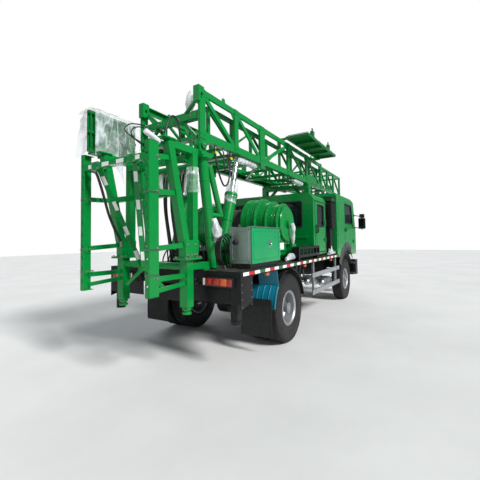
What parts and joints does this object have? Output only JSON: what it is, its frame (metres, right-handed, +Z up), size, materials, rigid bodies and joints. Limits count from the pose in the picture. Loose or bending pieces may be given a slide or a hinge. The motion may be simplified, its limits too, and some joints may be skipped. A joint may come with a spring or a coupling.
{
  "type": "truck-mounted workover rig",
  "caption": "Two-axle truck carrying a drawworks, an operator cabin and a two-section lattice mast folded forward, with hydraulic rams and a perforated tail frame.",
  "frame": {"origin": "bottom centre of the parked vehicle's box, on the ground", "axes": "+X to the truck's front, +Y to its left, +Z up"},
  "size_m": [8.865, 2.93, 3.953],
  "materials": {
    "green_paint": "glossy",
    "black_paint": "semi-gloss",
    "grey_iron": "rough",
    "cabinet_steel": "brushed",
    "silver_metal": "satin",
    "rod_chrome": "polished",
    "tyre": "matt",
    "plastic": "matt",
    "lamp_plastic": "glossy",
    "window": "clear"
  },
  "bodies": {
    "truck": {"chassis_frame": "black_paint", "rear_axle": "black_paint", "front_axle": "black_paint", "engine_block": "grey_iron", "fuel_tank": "silver_metal", "air_tanks": "silver_metal", "side_guards": "silver_metal", "deck": "black_paint", "tail_box": "black_paint", "lamps": "lamp_plastic", "mudguards": "plastic", "cab_shell": "green_paint", "window_glass": "window", "cab_interior": "plastic", "cab_front": "plastic", "cab_trim": "plastic", "intake_stack": "plastic", "cabin_shell": "green_paint", "drawworks_frame": "green_paint", "drawworks_guard": "green_paint", "electric_cabinet": "cabinet_steel", "tool_tray": "black_paint", "gantry": "green_paint", "tail_frames": "green_paint", "mast_rest": "green_paint"},
    "knuckle_left": {"knuckle_left": "black_paint"},
    "wheel_front_left": {"tyre_front_left": "tyre", "rim_front_left": "silver_metal"},
    "wheel_rear_left": {"tyre_rear_left": "tyre", "rim_rear_left": "silver_metal"},
    "cab_door_left": {"cab_door_left": "green_paint", "cab_door_glass_left": "window"},
    "ram_barrel_left": {"ram_barrel_left": "green_paint"},
    "ram_sleeve_left": {"ram_sleeve_left": "rod_chrome"},
    "ram_rod_left": {"ram_rod_left": "rod_chrome"},
    "screw_foot_left": {"screw_foot_left": "green_paint"},
    "jack_left": {"jack_left": "black_paint"},
    "knuckle_right": {"knuckle_right": "black_paint"},
    "wheel_front_right": {"tyre_front_right": "tyre", "rim_front_right": "silver_metal"},
    "wheel_rear_right": {"tyre_rear_right": "tyre", "rim_rear_right": "silver_metal"},
    "cab_door_right": {"cab_door_right": "green_paint", "cab_door_glass_right": "window"},
    "ram_barrel_right": {"ram_barrel_right": "green_paint"},
    "ram_sleeve_right": {"ram_sleeve_right": "rod_chrome"},
    "ram_rod_right": {"ram_rod_right": "rod_chrome"},
    "screw_foot_right": {"screw_foot_right": "green_paint"},
    "jack_right": {"jack_right": "black_paint"},
    "track_rod": {"track_rod": "black_paint"},
    "cabin_door": {"cabin_door": "green_paint", "cabin_door_glass": "window"},
    "cabinet_door": {"cabinet_door": "green_paint"},
    "rope_drum": {"rope_drum": "black_paint"},
    "mast_lower": {"mast_lower": "green_paint"},
    "mast_upper": {"mast_upper": "green_paint"},
    "crown_sheaves": {"crown_sheaves": "grey_iron"},
    "racking_board": {"racking_board": "green_paint"},
    "work_platform": {"work_platform": "green_paint"}
  },
  "joints": [
    {"name": "steer_left", "type": "hinge", "parent": "truck", "child": "knuckle_left", "pos_m": [2.2325, 0.8, 0.54], "axis": [0, 0, 1], "range_deg": [-32, 32]},
    {"name": "wheel_front_left_spin", "type": "hinge", "parent": "knuckle_left", "child": "wheel_front_left", "pos_m": [2.2325, 1, 0.54], "axis": [0, 1, 0], "continuous": true},
    {"name": "wheel_rear_left_spin", "type": "hinge", "parent": "truck", "child": "wheel_rear_left", "pos_m": [-1.9675, 1, 0.54], "axis": [0, 1, 0], "continuous": true},
    {"name": "steer_right", "type": "hinge", "parent": "truck", "child": "knuckle_right", "pos_m": [2.2325, -0.8, 0.54], "axis": [0, 0, 1], "range_deg": [-32, 32]},
    {"name": "wheel_front_right_spin", "type": "hinge", "parent": "knuckle_right", "child": "wheel_front_right", "pos_m": [2.2325, -1, 0.54], "axis": [0, 1, 0], "continuous": true},
    {"name": "wheel_rear_right_spin", "type": "hinge", "parent": "truck", "child": "wheel_rear_right", "pos_m": [-1.9675, -1, 0.54], "axis": [0, 1, 0], "continuous": true},
    {"name": "track_rod_slide", "type": "slide", "parent": "truck", "child": "track_rod", "axis": [0, 1, 0], "range_m": [-0.11, 0.11]},
    {"name": "cab_door_left_hinge", "type": "hinge", "parent": "truck", "child": "cab_door_left", "pos_m": [3.1165, 1.191, 1.5], "axis": [0, 0, -1], "range_deg": [0, 65]},
    {"name": "cab_door_right_hinge", "type": "hinge", "parent": "truck", "child": "cab_door_right", "pos_m": [3.1165, -1.191, 1.5], "axis": [0, 0, 1], "range_deg": [0, 65]},
    {"name": "cabin_door_hinge", "type": "hinge", "parent": "truck", "child": "cabin_door", "pos_m": [0.5565, -1.091, 1.8], "axis": [0, 0, 1], "range_deg": [0, 85]},
    {"name": "cabinet_door_hinge", "type": "hinge", "parent": "truck", "child": "cabinet_door", "pos_m": [-2.2455, -1.172, 1.5], "axis": [0, 0, 1], "range_deg": [0, 110]},
    {"name": "rope_drum_spin", "type": "hinge", "parent": "truck", "child": "rope_drum", "pos_m": [-1.5875, 0, 1.92], "axis": [0, 1, 0], "continuous": true},
    {"name": "mast_raise", "type": "hinge", "parent": "truck", "child": "mast_lower", "pos_m": [-3.4375, 0, 2.95], "axis": [0, -1, 0], "range_deg": [0, 90]},
    {"name": "mast_extend", "type": "slide", "parent": "mast_lower", "child": "mast_upper", "axis": [1, 0, 0], "range_m": [0, 4.1]},
    {"name": "crown_sheaves_spin", "type": "hinge", "parent": "mast_upper", "child": "crown_sheaves", "pos_m": [4.1025, 0, 3.34], "axis": [0, 1, 0], "continuous": true},
    {"name": "racking_board_fold", "type": "hinge", "parent": "mast_upper", "child": "racking_board", "pos_m": [-0.5075, -0.8, 3.808], "axis": [0, -1, 0], "range_deg": [0, 90]},
    {"name": "ram_tilt_left", "type": "hinge", "parent": "truck", "child": "ram_barrel_left", "pos_m": [-2.8475, 0.47, 1.43], "axis": [0, -1, 0], "range_deg": [0, 31.3]},
    {"name": "ram_sleeve_left_slide", "type": "slide", "parent": "ram_barrel_left", "child": "ram_sleeve_left", "axis": [0.3061, 0, 0.952], "range_m": [0, 0.5257]},
    {"name": "ram_rod_left_slide", "type": "slide", "parent": "ram_sleeve_left", "child": "ram_rod_left", "axis": [0.3061, 0, 0.952], "range_m": [0, 0.5257]},
    {"name": "screw_foot_left_slide", "type": "slide", "parent": "truck", "child": "screw_foot_left", "axis": [0, 0, -1], "range_m": [0, 0.42]},
    {"name": "jack_left_slide", "type": "slide", "parent": "truck", "child": "jack_left", "axis": [0, 0, -1], "range_m": [0, 0.2]},
    {"name": "ram_tilt_right", "type": "hinge", "parent": "truck", "child": "ram_barrel_right", "pos_m": [-2.8475, -0.47, 1.43], "axis": [0, -1, 0], "range_deg": [0, 31.3]},
    {"name": "ram_sleeve_right_slide", "type": "slide", "parent": "ram_barrel_right", "child": "ram_sleeve_right", "axis": [0.3061, 0, 0.952], "range_m": [0, 0.5257]},
    {"name": "ram_rod_right_slide", "type": "slide", "parent": "ram_sleeve_right", "child": "ram_rod_right", "axis": [0.3061, 0, 0.952], "range_m": [0, 0.5257]},
    {"name": "screw_foot_right_slide", "type": "slide", "parent": "truck", "child": "screw_foot_right", "axis": [0, 0, -1], "range_m": [0, 0.42]},
    {"name": "jack_right_slide", "type": "slide", "parent": "truck", "child": "jack_right", "axis": [0, 0, -1], "range_m": [0, 0.2]},
    {"name": "work_platform_fold", "type": "hinge", "parent": "truck", "child": "work_platform", "pos_m": [-3.9675, 0.685, 2.83], "axis": [-1, 0, 0], "range_deg": [0, 85]}
  ],
  "couplings": [
    {"joint": "steer_right", "follows": "steer_left", "ratio": 1},
    {"joint": "track_rod_slide", "follows": "steer_left", "m_per_rad": -0.17},
    {"joint": "ram_tilt_left", "follows": "mast_raise", "ratio": 0.34768},
    {"joint": "ram_sleeve_left_slide", "follows": "mast_raise", "m_per_rad": 0.33435},
    {"joint": "ram_rod_left_slide", "follows": "mast_raise", "m_per_rad": 0.33435},
    {"joint": "ram_tilt_right", "follows": "mast_raise", "ratio": 0.34768},
    {"joint": "ram_sleeve_right_slide", "follows": "mast_raise", "m_per_rad": 0.33435},
    {"joint": "ram_rod_right_slide", "follows": "mast_raise", "m_per_rad": 0.33435}
  ]
}
